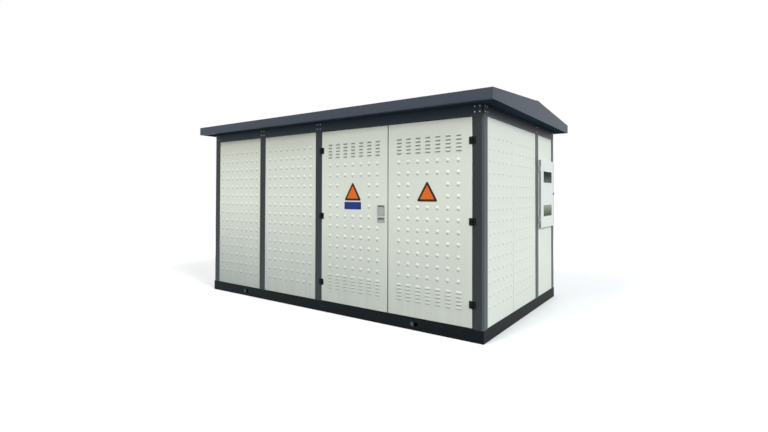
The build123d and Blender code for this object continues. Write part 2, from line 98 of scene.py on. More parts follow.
class PaintColours(bpy.types.PropertyGroup):
    """Colours of the paints, metals and plates, and of the painted light and shade."""

    panel: tint("Panels", "Off-white paint of the panels and leaves", 228, 233, 221)
    post: tint("Posts", "Slate grey paint of the posts and rails", 43, 49, 53)
    roof: tint("Roof", "Slate grey paint of the roof", 73, 80, 91)
    # Painted shade: dark blue-grey of the ceiling under the overhangs, also laid on the rails' tops
    soffit_shade: tint("Soffit", "Dark underside of the roof's overhang", 57, 72, 86)
    base: tint("Base", "Black paint of the base channels", 1, 6, 10)
    floor: tint("Floor", "Grey paint of the floor plate", 110, 113, 112)
    hinge: tint("Hinges", "Black powder coat of the hinges", 6, 13, 15)
    lock: tint("Lock", "Grey casting of the lock", 168, 171, 164)
    # Painted shade on the floor of the lock's pocket
    slot: tint("Lock slots", "Dark plastic in the lock's slots", 96, 98, 89)
    meter: tint("Meter box", "Pale grey paint of the meter box", 230, 235, 230)
    # Grey painted shade on the returns, window edges and hinges of the meter box's door
    edge: tint("Meter door edge", "Grey edges of the meter box's door", 196, 205, 202)
    glass: tint("Window glass", "Dark glass of the meter box", 12, 22, 18)
    # Painted reflection high on the lower pane
    glass_reflection: tint("Window haze", "Haze high on the lower pane", 170, 175, 154)
    knob: tint("Knob", "Dark plastic of the meter box's knob", 58, 50, 46)
    zinc: tint("Zinc", "Plated bolts and screws", 172, 178, 180)
    # Painted highlight on the end of the lock's lever
    wear_and_highlight: tint("Rubbed casting", "Bright end of the lock's lever", 224, 227, 230)
    # Pale grey of dust, also blended in as painted light on the posts' ends, painted shade low down and at the
    # meter door's edge, and painted reflection on the upper pane
    dust_and_painted_light: tint("Dust", "Dust low down, on the posts' ends and the windows", 132, 142, 144)
    orange: tint("Hazard plate", "Orange enamel of the triangular plates", 228, 111, 40)
    rim: tint("Plate rim", "Brown-black rim of the triangular plates", 50, 28, 13)
    blue: tint("Notice plate", "Blue enamel of the rectangular plate", 30, 52, 122)
    # Grey of the painted shade at the leaves' seam, at the louvres and on faces that look down
    shade_tone: tint("Grime", "Grime at the leaves' seam, at louvres and under what stands out", 126, 128, 118)
    # Yellowing and painted shade of the panels close under the eaves
    eave_stain_and_shade: tint("Eave stain", "Yellowing of the panels close under the eaves", 150, 138, 96)


class DimpleSizes(bpy.types.PropertyGroup):
    """Round dimples pressed outwards in the panels and leaves."""

    width: metres("Width", "Across one dimple, with its foot", 0.054)
    height: metres("Height", "How far a dimple stands out on the long sides", 0.0070)
    end_height: metres("End height", "How far a dimple stands out on the two ends", 0.0050)
    row_pitch: metres("Row pitch", "From one row to the next", 0.1133)
    first_row: metres("First row", "Lowest row of a panel above the ground", 0.299)
    leaf_first_row: metres("Leaf first row", "Lowest row of a leaf above the ground", 0.5305)
    panel_pitch: metres("Panel pitch", "Between columns of a front or back panel", 0.101)
    leaf_pitch: metres("Leaf pitch", "Between columns of a door leaf", 0.110)
    end_pitch: metres("End pitch", "Between columns of an end panel", 0.114)
    panel_columns: count("Panel columns", "Columns of a front panel", 8)
    leaf_columns: count("Leaf columns", "Columns of a door leaf", 7)
    end_columns: count("End columns", "Columns of an end panel", 6)
    panel_rows: count("Panel rows", "Rows of a panel", 15)
    leaf_rows: count("Leaf rows", "Rows of a leaf, between its louvres", 11)


class FastenerSizes(bpy.types.PropertyGroup):
    """Bolts at the post tops and screws of the hinges."""

    bolt_radius: metres("Bolt head", "Radius of a bolt's hexagon", 0.0060)
    bolt_height: metres("Bolt height", "Height of a bolt's head", 0.005)
    washer_radius: metres("Washer", "Radius of a bolt's washer", 0.0075)
    washer_height: metres("Washer thickness", "Thickness of a bolt's washer", 0.0016)
    bolt_spacing: metres("Bolt spacing", "Between the two bolts of a row", 0.050)
    bolt_row_gap: metres("Row gap", "Between the two rows of bolts", 0.051)
    bolt_top: metres("Top row", "From the rail's top down to the upper row", 0.020)
    screw_radius: metres("Screw head", "Radius of a hinge screw's head", 0.0045)
    screw_height: metres("Screw height", "Height of a hinge screw's head", 0.0016)


class PlateSizes(bpy.types.PropertyGroup):
    """Bare hazard triangles and the bare notice plate."""

    side: metres("Triangle side", "Side of a triangular plate", 0.235)
    rim: metres("Triangle rim", "Width of the dark rim", 0.022)
    corner: metres("Triangle corner", "Radius of a triangle's corners", 0.012)
    thickness: metres("Thickness", "Thickness of a plate", 0.002)
    relief: metres("Enamel", "How far the enamel stands above the rim", 0.0004)
    left_x: metres("Left plate", "Middle of the left triangle, along x", 0.4945)
    right_x: metres("Right plate", "Middle of the right triangle, along x", 1.421)
    base_z: metres("Triangle base", "Height of the triangles' lower edge", 1.272)
    notice_width: metres("Notice width", "Width of the blue plate", 0.231)
    notice_height: metres("Notice height", "Height of the blue plate", 0.081)
    notice_z: metres("Notice place", "Height of the blue plate's middle", 1.2165)
    notice_corner: metres("Notice corner", "Radius of the blue plate's corners", 0.006)


class WindowFrameSizes(bpy.types.PropertyGroup):
    """Thin painted frames round the windows of the meter box."""

    lip: metres("Outer lip", "How far a frame reaches over the door's sheet", 0.006)
    proud: metres("Proud", "How far a frame stands out of the door", 0.0012)
    jamb: metres("Jamb", "Width of a frame's sides inside the window", 0.0015)
    head: metres("Head", "Width of a frame's head inside the window", 0.001)
    sill: metres("Sill", "Width of a frame's sill inside the window", 0.009)
    lap: metres("Pane lap", "How far a pane reaches behind the door beyond its window", 0.012)
    corner: metres("Window corner", "Radius of a window's corners", 0.004)


class EdgeBends(bpy.types.PropertyGroup):
    """Radii that folded and cut edges are rolled to."""

    sheet: metres("Sheet bend", "Bend of the panels, leaves and fascias", 0.003)
    section: metres("Section corner", "Corner of the posts, rails and channels", 0.003)
    small: metres("Small edge", "Edges of the lock and the meter box", 0.0012)


class StudioSettings(bpy.types.PropertyGroup):
    """Camera, floor and lamps."""

    camera_place: FloatVectorProperty(
        name="Camera", description="Where the camera stands", default=(3.576, -5.001, 1.345), size=3,
        subtype="TRANSLATION",
    )
    heading: number("Heading", "Turn of the view from +Y towards +X", -0.6195, "ANGLE")
    pitch: number("Pitch", "Rise of the view", 0.01407, "ANGLE")
    roll: number("Roll", "Roll of the camera", 0.00295, "ANGLE")
    focal_pixels: number("Focal length", "In pixels of the frame", 448.74)
    principal_x: number("Principal x", "In pixels of the frame", 379.65)
    principal_y: number("Principal y", "In pixels of the frame", 187.60)
    sky: number("Sky", "Strength of the sky's light", 0.42)
    front_lamp: number("Front lamp", "Strength of the front's lamp", 1.80)
    end_lamp: number("End lamp", "Strength of the right end's lamp", 2.26)


IMAGE_WIDTH, IMAGE_HEIGHT = 768, 432
SENSOR_WIDTH = 36.0


# Node trees
def node_math(operation, swapped=False):
    """A wire's method that adds a Math node, with its operands swapped for a reflected form."""
    if swapped:
        return lambda wire, other: wire.graph.math(operation, other, wire)
    return lambda wire, *others: wire.graph.math(operation, wire, *others)


class Wire:
    """An output of a node; arithmetic on it adds Math nodes to its tree."""

    def __init__(self, graph, socket):
        self.graph = graph
        self.socket = socket

    __add__ = __radd__ = node_math("ADD")
    __mul__ = __rmul__ = node_math("MULTIPLY")
    __sub__, __rsub__ = node_math("SUBTRACT"), node_math("SUBTRACT", swapped=True)
    __truediv__, __rtruediv__ = node_math("DIVIDE"), node_math("DIVIDE", swapped=True)
    __lt__, __gt__ = node_math("LESS_THAN"), node_math("GREATER_THAN")
    power, fraction, cosine = node_math("POWER"), node_math("FRACT"), node_math("COSINE")
    least, most, size = node_math("MINIMUM"), node_math("MAXIMUM"), node_math("ABSOLUTE")


class Graph:
    """A node tree, built up by adding nodes."""

    def __init__(self, tree):
        self.tree = tree

    def add(self, kind, sockets=None, output=0, **settings):
        """Add a node with its settings, then its sockets' values or wires; return one output."""
        node = self.tree.nodes.new(kind)
        for name, value in settings.items():
            setattr(node, name, value)
        for key, value in (sockets or {}).items():
            if isinstance(value, Wire):
                self.tree.links.new(value.socket, node.inputs[key])
            else:
                node.inputs[key].default_value = value
        return Wire(self, node.outputs[output]) if node.outputs else None

    def others(self, wire, name):
        """Another output of the node that a wire comes from."""
        return Wire(self, wire.socket.node.outputs[name])

    def math(self, operation, *operands):
        return self.add("ShaderNodeMath", dict(enumerate(operands)), operation=operation)

    def vector_math(self, operation, *operands, output=0):
        return self.add("ShaderNodeVectorMath", dict(enumerate(operands)), output, operation=operation)

    def length(self, vector):
        return self.vector_math("LENGTH", vector, output="Value")

    def parts(self, vector):
        """The x, y and z of a vector."""
        x = self.add("ShaderNodeSeparateXYZ", {0: vector})
        return x, self.others(x, "Y"), self.others(x, "Z")

    def joined(self, x, y, z):
        return self.add("ShaderNodeCombineXYZ", {0: x, 1: y, 2: z})

    def ramp(self, value, low, high, start=0.0, stop=1.0):
        """From start at low to stop at high, held beyond them."""
        return self.add("ShaderNodeMapRange", {0: value, 1: low, 2: high, 3: start, 4: stop}, clamp=True)

    def mix(self, share, first, second, **settings):
        first, second = (side if isinstance(side, Wire) else (*side, 1.0) for side in (first, second))
        return self.add("ShaderNodeMix", {0: share, 6: first, 7: second}, 2, data_type="RGBA", **settings)

    def blend(self, share, first, second):
        """Colour that goes from first to second."""
        return self.mix(share, first, second, clamp_factor=True)

    def shade(self, colour, factor):
        """Colour times a grey factor."""
        return self.mix(1.0, colour, factor, blend_type="MULTIPLY")


class Finish(Graph):
    """A material around one Principled shader, patterned by the place on the object."""

    def __init__(self, name, specular=0.5, metallic=0.0, alpha=1.0):
        self.material = bpy.data.materials.new(name)
        self.material.use_nodes = True
        super().__init__(self.material.node_tree)
        self.shader = self.tree.nodes["Principled BSDF"]
        for socket, value in (("Specular IOR Level", specular), ("Metallic", metallic), ("Alpha", alpha)):
            self.shader.inputs[socket].default_value = value
        self.place = self.add("ShaderNodeTexCoord", output="Object")
        self.x, self.y, self.z = self.parts(self.place)

    def noise(self, size, detail=3.0, stretch=(1.0, 1.0, 1.0), coarse=0.5):
        """Noise from 0 to 1 with features about as large as size, in metres."""
        scaled = self.vector_math("MULTIPLY", self.place, [share / size for share in stretch])
        sockets = {"Vector": scaled, "Scale": 1.0, "Detail": detail, "Roughness": coarse}
        return self.add("ShaderNodeTexNoise", sockets)

    def bump(self, height, distance, under=None):
        sockets = {"Strength": 1.0, "Distance": distance, "Height": height}
        if under:
            sockets["Normal"] = under
        return self.add("ShaderNodeBump", sockets)

    def peel(self):
        """The fine orange peel of sprayed paint."""
        return self.bump(self.noise(0.004, 1.0), 0.00012)

    def done(self, colour, roughness, normal=None):
        """Feed the shader, and return the material."""
        for name, value in (("Base Color", colour), ("Roughness", roughness), ("Normal", normal)):
            if isinstance(value, Wire):
                self.tree.links.new(value.socket, self.shader.inputs[name])
            elif value is not None:
                self.shader.inputs[name].default_value = value
        return self.material


# Finishes of the sheet metal
# Band in which dust and painted shade darken the paint low down
DUST_AND_SHADE_FOOT, DUST_AND_SHADE_TOP = 0.12, 1.25
LONG_SIDES = (1.10, 1.15)
SHEET_WAVE = 0.55
# Share of a normal along an axis, from where a face starts to look that way to where it fully does
FACES_DOWN, FACES_UP, FACES_END = (-0.08, -0.50), (0.10, 0.30), (0.1, 0.5)
UNDERSIDE_SHADE = 0.62
EAVE_REACH = 0.30
EAVE_STAIN_AND_SHADE, FAR_EAVE_STAIN_AND_SHADE, EAVE_SHADE_GROWS = 0.02, 0.24, (0.3, -0.3)
SHELTERED_DROPS = (0.106, 0.070)
RAIL_SHADE, RAIL_SHADE_EDGE, SHELTERED_SHADE = 0.65, 0.002, 0.75
DOOR_SHADE_WIDTH, DOOR_SHADE_BLUR, DOOR_EDGE_SHADE = 0.024, 0.001, 0.75


def sheet_paint(
    name, colour, dirt_and_shade, roughness, specular, dust_and_shade_share, wave, end_light=0.0, door_shade_from=None, leaf=None
):
    """Sprayed paint on sheet: cloudiness, orange peel, a wavy skin, dust and painted shade low down, painted shade
    underneath, and yellowing with painted shade under the eaves.
    """
    paint = Finish(name, specular)
    clouds = paint.noise(0.9, 2.0)
    grain = paint.noise(0.012, 2.0)
    streaks = paint.noise(0.05, stretch=(1.0, 1.0, 0.06))
    low = 1.0 - paint.ramp(paint.z, BAY_BOTTOM - DUST_AND_SHADE_FOOT, DUST_AND_SHADE_TOP)
    far = 1.0 - paint.ramp(paint.x, LEFT_FACE_X, RIGHT_FACE_X)
    long_side = paint.ramp(paint.y.size(), *LONG_SIDES)
    # Dust and painted shade: darker low down, most on the long sides and towards the left end, with streaks
    dust_and_shade = low * (0.06 + long_side * (0.20 + streaks * 0.25 + far * 0.55)) * dust_and_shade_share
    tone = 0.965 + clouds * 0.05 + grain * 0.012
    facing_end, _, facing_up = paint.parts(paint.add("ShaderNodeNewGeometry", output="Normal"))
    # Painted shade on faces that look down, such as the lower halves of the dimples
    under = paint.ramp(facing_up, *FACES_DOWN) * UNDERSIDE_SHADE
    below_eave = paint.ramp(paint.z, BAY_TOP - EAVE_REACH, BAY_TOP) * long_side
    # Yellowing and painted shade under the eaves on the long sides, stronger towards the left end
    eave_stained_and_shaded = below_eave * (EAVE_STAIN_AND_SHADE + paint.ramp(paint.x, *EAVE_SHADE_GROWS) * FAR_EAVE_STAIN_AND_SHADE)
    body = paint.blend(dust_and_shade, paint.shade(colour, tone), dirt_and_shade.dust_and_painted_light)
    body = paint.blend(under * dust_and_shade_share, body, dirt_and_shade.shade_tone)
    body = paint.blend(eave_stained_and_shaded * dust_and_shade_share, body, dirt_and_shade.eave_stain_and_shade)
    if end_light:
        # Painted light: faces that look along x are lightened towards pale grey, except in the sheltered top
        on_end = paint.ramp(facing_end.size(), *FACES_END)
        sheltered = paint.ramp(paint.z, *(RAIL_TOP - drop for drop in SHELTERED_DROPS))
        body = paint.blend(on_end * (1.0 - sheltered) * end_light, body, dirt_and_shade.dust_and_painted_light)
        # Painted shade: above the panels' top, the rails and post tops go most of the way to the soffit's dark
        # tone
        rail_shaded = paint.ramp(paint.z, BAY_TOP - RAIL_SHADE_EDGE, BAY_TOP) * RAIL_SHADE
        body = paint.blend(rail_shaded, body, dirt_and_shade.soffit_shade)
        body = paint.shade(body, 1.0 - on_end * sheltered * SHELTERED_SHADE)
    # Painted shade: a grey band along the edge of the meter door's face towards the back
    if door_shade_from:
        body = paint.blend(paint.ramp(paint.y, door_shade_from, door_shade_from + DOOR_SHADE_BLUR) * DOOR_EDGE_SHADE, body, dirt_and_shade.dust_and_painted_light)
    if leaf:
        # Painted shadow under the louvres' lips and painted shade on their hoods
        body = paint.blend(louvre_shade(paint, leaf, facing_up), body, dirt_and_shade.shade_tone)
    skin = paint.bump(paint.noise(SHEET_WAVE, 1.0), wave, paint.peel())
    return paint.done(body, roughness - 0.04 + clouds * 0.08 + dust_and_shade * 0.5, skin)


LOUVRE_WIDTH, LOUVRE_COLUMNS, LOUVRE_COLUMN_PITCH = 0.056, 7, 0.110
LOUVRE_ROWS, LOUVRE_ROW_PITCH, LOUVRE_LIP_DROP = 5, 0.0355, 0.010
# Middle height of each field, how far its painted shadow is raised, and its strength
LOUVRE_FIELDS = ((1.831, 0.008, 0.75), (0.366, 0.0, 0.55))
SHADOW_DEPTH, SHADOW_BLUR = 0.010, 0.003
HOOD_SHADE = 0.28


def louvre_shade(paint, leaf, facing_up):
    """Share of painted shadow under the mouths, and of painted shade on the upward faces of the hoods, of a leaf's
    louvres.
    """
    column = (paint.x - node_middle(leaf, 0)) / LOUVRE_COLUMN_PITCH
    across = ((column + 0.5).fraction() - 0.5).size() * LOUVRE_COLUMN_PITCH
    in_column = paint.ramp(across, LOUVRE_WIDTH / 2 + 0.001, LOUVRE_WIDTH / 2 - 0.002)
    in_column = in_column * (column.size() < LOUVRE_COLUMNS / 2)
    mouth_shadows = fields = 0.0
    for middle_z, rise, share in LOUVRE_FIELDS:
        start = middle_z - LOUVRE_LIP_DROP + rise
        below = ((start - paint.z) / LOUVRE_ROW_PITCH).fraction() * LOUVRE_ROW_PITCH
        band = paint.ramp(below, SHADOW_DEPTH + SHADOW_BLUR, SHADOW_DEPTH - SHADOW_BLUR)
        in_field = (paint.z - start + SHADOW_DEPTH / 2).size() < LOUVRE_ROW_PITCH * LOUVRE_ROWS / 2
        mouth_shadows = mouth_shadows + band * paint.ramp(below, 0.0, 0.001) * in_field * share
        fields = fields + in_field
    return in_column * (mouth_shadows + fields * paint.ramp(facing_up, *FACES_UP) * HOOD_SHADE)


def soffit_primer(colours):
    """Matt dark paint of the ceiling, darkened as painted shade, which shows under the overhangs."""
    ceiling_coat = Finish("soffit_primer", specular=0.0)
    body = ceiling_coat.shade(colours.soffit_shade, 0.9 + ceiling_coat.noise(0.4) * 0.2)
    return ceiling_coat.done(body, 0.9, ceiling_coat.peel())


RUB_SHIFT = 0.038
RUB_CORE, RUB_REACH = 0.008, 0.030


def base_paint(colours):
    """Black paint with scuffs that show the grey undercoat, rubbed spots by the holes, and splashed dust."""
    paint = Finish("black_base_paint", specular=0.11)
    scuffs = paint.ramp(paint.noise(0.045, 6.0, stretch=(0.35, 0.35, 1.6), coarse=0.7), 0.63, 0.72)
    patches = paint.ramp(paint.noise(0.6), 0.45, 0.75)
    splash = paint.ramp(paint.noise(0.02, 4.0), 0.35, 0.85)
    wear_and_highlight = 0.0
    for hole_x, hole_z in LIFTING_HOLES:
        reach = paint.length(paint.joined(paint.x - hole_x + RUB_SHIFT, 0.0, paint.z - hole_z))
        wear_and_highlight = wear_and_highlight + paint.ramp(reach, RUB_CORE, RUB_REACH, 1.0, 0.0)
    worn = (scuffs * patches * 0.35 + wear_and_highlight * (0.15 + splash * 0.50)).least(1.0)
    body = paint.blend(worn + splash * 0.025, colours.base, colours.dust_and_painted_light)
    texture = paint.bump(paint.noise(0.003, 2.0), 0.0002)
    return paint.done(body, 0.5 + splash * 0.12 - worn * 0.3, texture)


def floor_paint(colours):
    """Grey floor paint, walked on: paler tracks and fine scratches."""
    paint = Finish("floor_paint")
    tracks = paint.ramp(paint.noise(0.5, 4.0), 0.35, 0.75)
    scratches = paint.ramp(paint.noise(0.006, stretch=(1.0, 0.1, 1.0)), 0.6, 0.7)
    body = paint.blend(tracks * 0.25 + scratches * 0.1, colours.floor, colours.dust_and_painted_light)
    return paint.done(body, 0.5 + tracks * 0.2, paint.bump(scratches, 0.0002))


# Finishes of the fittings
# Heights of the painted highlight on the lock's lever
LEVER_END = (1.098, 1.114)
HIGHLIGHT_FADE, HIGHLIGHT_SHARE = 0.003, 0.8


def powder_coat(name, colour, roughness, specular=0.25):
    coat = Finish(name, specular)
    grain = coat.noise(0.0016, 2.0)
    body = coat.shade(colour, 0.9 + grain * 0.25)
    return coat.done(body, roughness - 0.05 + grain * 0.1, coat.bump(grain, 0.00015))


def casting(name, colour, wear_and_highlight=None):
    """Satin die casting with a fine sandy skin, and a painted highlight at the height of the lever's end."""
    metal = Finish(name)
    skin = metal.noise(0.0012)
    handled = metal.noise(0.03, 2.0)
    body = metal.shade(colour, 0.92 + handled * 0.12)
    if wear_and_highlight:
        low, high = LEVER_END
        strip = metal.ramp(metal.z, low, low + HIGHLIGHT_FADE) * metal.ramp(metal.z, high, high - HIGHLIGHT_FADE)
        body = metal.blend(strip * HIGHLIGHT_SHARE, body, wear_and_highlight)
    return metal.done(body, 0.36 + handled * 0.14, metal.bump(skin, 0.00008))


def zinc_plate(colours):
    metal = Finish("zinc_plate", metallic=1.0)
    clouds = metal.noise(0.006)
    return metal.done(metal.shade(colours.zinc, 0.85 + clouds * 0.25), 0.24 + clouds * 0.2)


def enamel(name, colour):
    """Printed enamel, a little faded and dulled in patches."""
    coat = Finish(name, specular=0.22)
    fade = coat.noise(0.09)
    specks = coat.noise(0.003, 2.0)
    return coat.done(coat.shade(colour, 0.93 + fade * 0.1 + specks * 0.04), 0.26 + fade * 0.14)


def window_glass(colours):
    """Dark pane, with a painted reflection that is lighter and mottled towards the foot of the upper one and the
    head of the lower one.
    """
    low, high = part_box("meter_window_panes")
    pane = Finish("meter_window_glass", specular=0.006, alpha=0.98)
    height = (pane.z - low.z) / (high.z - low.z)
    reflection_mottle = pane.noise(0.05, stretch=(1.0, 1.0, 2.5))
    upper = pane.ramp(height, 0.49, 0.51)
    foot_of_upper = pane.ramp(height, 0.90, 0.74) * upper
    head_of_lower = pane.ramp(height, -0.10, 0.25).power(1.9) * (1.0 - upper)
    # Painted reflection, lighter towards the foot of the upper pane and the head of the lower one
    body = pane.blend(foot_of_upper * reflection_mottle + reflection_mottle * 0.06, colours.glass, colours.dust_and_painted_light)
    body = pane.blend(head_of_lower * 0.92, body, colours.glass_reflection)
    return pane.done(body, 0.05 + reflection_mottle * 0.06)


def node_finishes(colours):
    """Finish of each material slot of the record, and of the nodes that have one of their own."""
    # Colour, dirt and shade colours, roughness, specular level, share of dust and painted shade, and depth of the
    # waves in the skin
    panel = (colours.panel, colours, 0.38, 0.45, 0.85, 0.006)
    post = (colours.post, colours, 0.42, 0.22, 0.04, 0.0012)
    roof = (colours.roof, colours, 0.42, 0.10, 0.0, 0.003)
    meter = (colours.meter, colours, 0.36, 0.40, 0.0, 0.0008)
    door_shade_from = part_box("meter_door")[1].y - DOOR_SHADE_WIDTH
    return {
        "panel_white": sheet_paint("off_white_paint", *panel),
        "frame_grey": sheet_paint("slate_post_paint", *post, end_light=0.22),
        "roof_grey": sheet_paint("slate_roof_paint", *roof),
        "meter_white": sheet_paint("meter_box_paint", *meter, door_shade_from=door_shade_from),
        "base_black": base_paint(colours),
        "floor_grey": floor_paint(colours),
        "hinge_black": powder_coat("hinge_powder_coat", colours.hinge, 0.45, 0.12),
        "lock_grey": casting("lock_casting", colours.lock, colours.wear_and_highlight),
        "window_glass": window_glass(colours),
        "knob_dark": powder_coat("knob_plastic", colours.knob, 0.4),
        "ceiling_panel": soffit_primer(colours),
        **{leaf: sheet_paint(f"{leaf}_paint", *panel, leaf=leaf) for leaf in LEAF_BODIES},
    }


# Pieces
SLOT_OF_NODE = {piece["node"]: piece["material_slot"] for piece in frame["record"]["subparts"]}
BODY_OF_NODE = {
    node: body for body, nodes in frame["record"]["behaviour"]["bodies"].items() for node in nodes
}
LEAF_BODIES = {"left_door_leaf": "left_leaf", "right_door_leaf": "right_leaf"}


def in_scene(name, data):
    """An object at the origin."""
    shown = bpy.data.objects.new(name, data)
    bpy.context.scene.collection.objects.link(shown)
    return shown


def place_piece(name, mesh, body):
    """A finished piece: an object at the origin that rides on a body."""
    piece = in_scene(name, mesh)
    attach(piece, body)
    return piece


def mesh_of(shape, name, *materials):
    """The mesh of a finished shape, with its materials."""
    mesh = bpy.data.meshes.new(name)
    shape.to_mesh(mesh)
    shape.free()
    for material in materials:
        mesh.materials.append(material)
    return mesh


def node_middle(node, axis):
    low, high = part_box(node)
    return (low[axis] + high[axis]) / 2


# Rolled edges
WELD_DISTANCE = 0.00002
FLAT_TURN, BEND_TURN = math.radians(0.5), math.radians(25)
BEND_SEGMENTS = 3


def breadth(face):
    """About how wide a face is across its longest edge."""
    return face.calc_area() / max(edge.calc_length() for edge in face.edges)


def rolls(edge, bend, shortest):
    """Whether an edge is an outer corner of sheet or section, long enough to show its bend."""
    if len(edge.link_faces) != 2 or not edge.is_convex or edge.calc_length() < shortest:
        return False
    return edge.calc_face_angle(0.0) > BEND_TURN and min(map(breadth, edge.link_faces)) > 3 * bend


def roll_edges(node, bend, shortest, smooth_turn):
    """Stand a copy of a node in its place, with its outer corners rolled to a bend."""
    plain = frame["nodes"][node].data
    shape = bmesh.new()
    shape.from_mesh(plain)
    bmesh.ops.remove_doubles(shape, verts=shape.verts, dist=WELD_DISTANCE)
    bmesh.ops.dissolve_limit(
        shape, angle_limit=FLAT_TURN, verts=shape.verts, edges=shape.edges, delimit=set()
    )
    weight = shape.edges.layers.float.new("bevel_weight_edge")
    for edge in shape.edges:
        edge[weight] = float(rolls(edge, bend, shortest))
    mesh = mesh_of(shape, f"{node}_rolled", plain.materials[0])
    for polygon in mesh.polygons:
        polygon.use_smooth = True
    mesh.set_sharp_from_angle(angle=math.radians(smooth_turn))
    piece = place_piece(f"{node}_rolled", mesh, BODY_OF_NODE[node])
    bevel = piece.modifiers.new("bend", "BEVEL")
    bevel.limit_method = "WEIGHT"
    bevel.width = bend
    bevel.segments = BEND_SEGMENTS
    bevel.use_clamp_overlap = False
    bevel.harden_normals = True
    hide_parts(node)
    return piece


SECTION_NODES = [node for node in SLOT_OF_NODE if node.endswith(("_channel", "_post", "_rail"))]
SHEET_NODES = [
    *(node for node in SLOT_OF_NODE if "_panel" in node and node != "ceiling_panel"),
    *LEAF_BODIES, "roof_front_sheet", "roof_back_sheet",
]
SMALL_NODES = ["meter_case", "meter_door", "door_lock"]
# Shortest edge that is rolled, and the turn in degrees above which an edge stays sharp
LONG_EDGE, SHORT_EDGE = 0.25, 0.05
SECTION_SMOOTH_TURN, SHEET_SMOOTH_TURN = 28.0, 3.0


def paint_faces(piece, material, chosen):
    """Give a further material to the faces that a test on their middle and normal picks."""
    mesh = piece.data
    mesh.materials.append(material)
    for polygon in mesh.polygons:
        if chosen(polygon.center, polygon.normal):
            polygon.material_index = len(mesh.materials) - 1


# How much of a normal lies along the axis that its face looks along
FACING = 0.9
LOCK_POCKET_FLOOR, POCKET_SLACK, BEHIND_FACE = 0.002, 0.001, 0.0005
SEAM_X = (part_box("left_door_leaf")[1].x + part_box("right_door_leaf")[0].x) / 2
SEAM_REACH = 0.006


def lock_pocket(centre, normal):
    """Floor of the lock's pocket, which shows above and below its lever, and takes a painted shade."""
    return normal.y < -FACING and abs(FRONT_FACE_Y - centre.y - LOCK_POCKET_FLOOR) < POCKET_SLACK


def behind_leaf(centre, normal):
    """Case and rods of the lock, behind the leaf's sheet."""
    return centre.y > FRONT_FACE_Y + BEHIND_FACE


def seam_edge(centre, normal):
    """Edges of the two leaves that face each other across their seam, which take a painted shade."""
    return abs(normal.x) > FACING and abs(centre.x - SEAM_X) < SEAM_REACH


def door_edge(centre, normal):
    """Returns, window edges and hinges of the meter box's door, which take a grey painted shade."""
    return abs(normal.x) < 0.5


class SUBSTATION_OT_finish_sheet_metal(bpy.types.Operator):
    """Roll the corners of the posts, channels, panels and leaves, and paint every node"""

    bl_idname = "substation.finish_sheet_metal"
    bl_label = "Finish Sheet Metal"

    def execute(self, context):
        bends = context.scene.substation_bends
        colours = context.scene.substation_colours
        finishes = node_finishes(colours)
        for node, shown in frame["nodes"].items():
            shown.data.materials.clear()
            shown.data.materials.append(finishes.get(node) or finishes[SLOT_OF_NODE[node]])
        groups = (
            (SECTION_NODES, bends.section, LONG_EDGE, SECTION_SMOOTH_TURN),
            (SHEET_NODES, bends.sheet, LONG_EDGE, SHEET_SMOOTH_TURN),
            (SMALL_NODES, bends.small, SHORT_EDGE, SECTION_SMOOTH_TURN),
        )
        pieces = {node: roll_edges(node, *how) for nodes, *how in groups for node in nodes}
        paint_faces(pieces["door_lock"], powder_coat("lock_slot_plastic", colours.slot, 0.5), lock_pocket)
        paint_faces(pieces["door_lock"], zinc_plate(colours), behind_leaf)
        # Painted shade on the leaves' edges inside their narrow seam
        shade_tone = sheet_paint("seam_grime", colours.shade_tone, colours, 0.6, 0.2, 0.0, 0.0)
        for leaf in LEAF_BODIES:
            paint_faces(pieces[leaf], shade_tone, seam_edge)
        # Painted shade on the meter door's returns, window edges and hinges
        paint_faces(pieces["meter_door"], casting("meter_door_edge", colours.edge), door_edge)
        return {"FINISHED"}


# Geometry Nodes: a tree with named inputs, and the plain mesh that it makes
def new_tree(name, inputs):
    """A geometry tree with inputs named by kind; returns its graph and the inputs' wires by name."""
    tree = bpy.data.node_groups.new(name, "GeometryNodeTree")
    labels = {label: kind for kind, names in {"Geometry": ["Geometry"], **inputs}.items() for label in names}
    for label, kind in labels.items():
        tree.interface.new_socket(label, in_out="INPUT", socket_type=f"NodeSocket{kind}")
    tree.interface.new_socket("Geometry", in_out="OUTPUT", socket_type="NodeSocketGeometry")
    graph = Graph(tree)
    entry = graph.add("NodeGroupInput")
    return graph, {label: graph.others(entry, label) for label in labels}


def end_tree(graph, shape, material):
    real = graph.add("GeometryNodeRealizeInstances", {0: shape})
    painted = graph.add("GeometryNodeSetMaterial", {"Geometry": real, "Material": material})
    graph.add("NodeGroupOutput", {0: painted})
    return graph


def grown_mesh(graph, values, seed_mesh=None):
    """The plain mesh that a tree makes with these input values."""
    start = in_scene("start", seed_mesh or bpy.data.meshes.new("start"))
    modifier = start.modifiers.new("grow", "NODES")
    modifier.node_group = graph.tree
    for item in graph.tree.interface.items_tree:
        if item.in_out == "INPUT" and item.name in values:
            modifier[item.identifier] = values[item.name]
    depsgraph = bpy.context.evaluated_depsgraph_get()
    mesh = bpy.data.meshes.new_from_object(start.evaluated_get(depsgraph), depsgraph=depsgraph)
    bpy.data.objects.remove(start)
    return mesh


def joined_mesh(name, meshes, material):
    """One mesh from several, with one material."""
    shape = bmesh.new()
    for mesh in meshes:
        shape.from_mesh(mesh)
    for face in shape.faces:
        face.material_index = 0
    return mesh_of(shape, name, material)


# Pressed dimples
DIMPLE_SIDES, DIMPLE_RINGS = 12, 5
DIMPLE_FLAT_RING = 0.9
DIMPLE_SINK = 0.0001
DIMPLE_CROWN = 1.3
NO_GAP = ((0.0, 0.0), (0.0, 0.0))
GRID_SHIFTS = {"left_door_leaf": -0.003, "right_door_leaf": -0.005}
PANEL_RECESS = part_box("front_outer_panel")[0].y - FRONT_FACE_Y


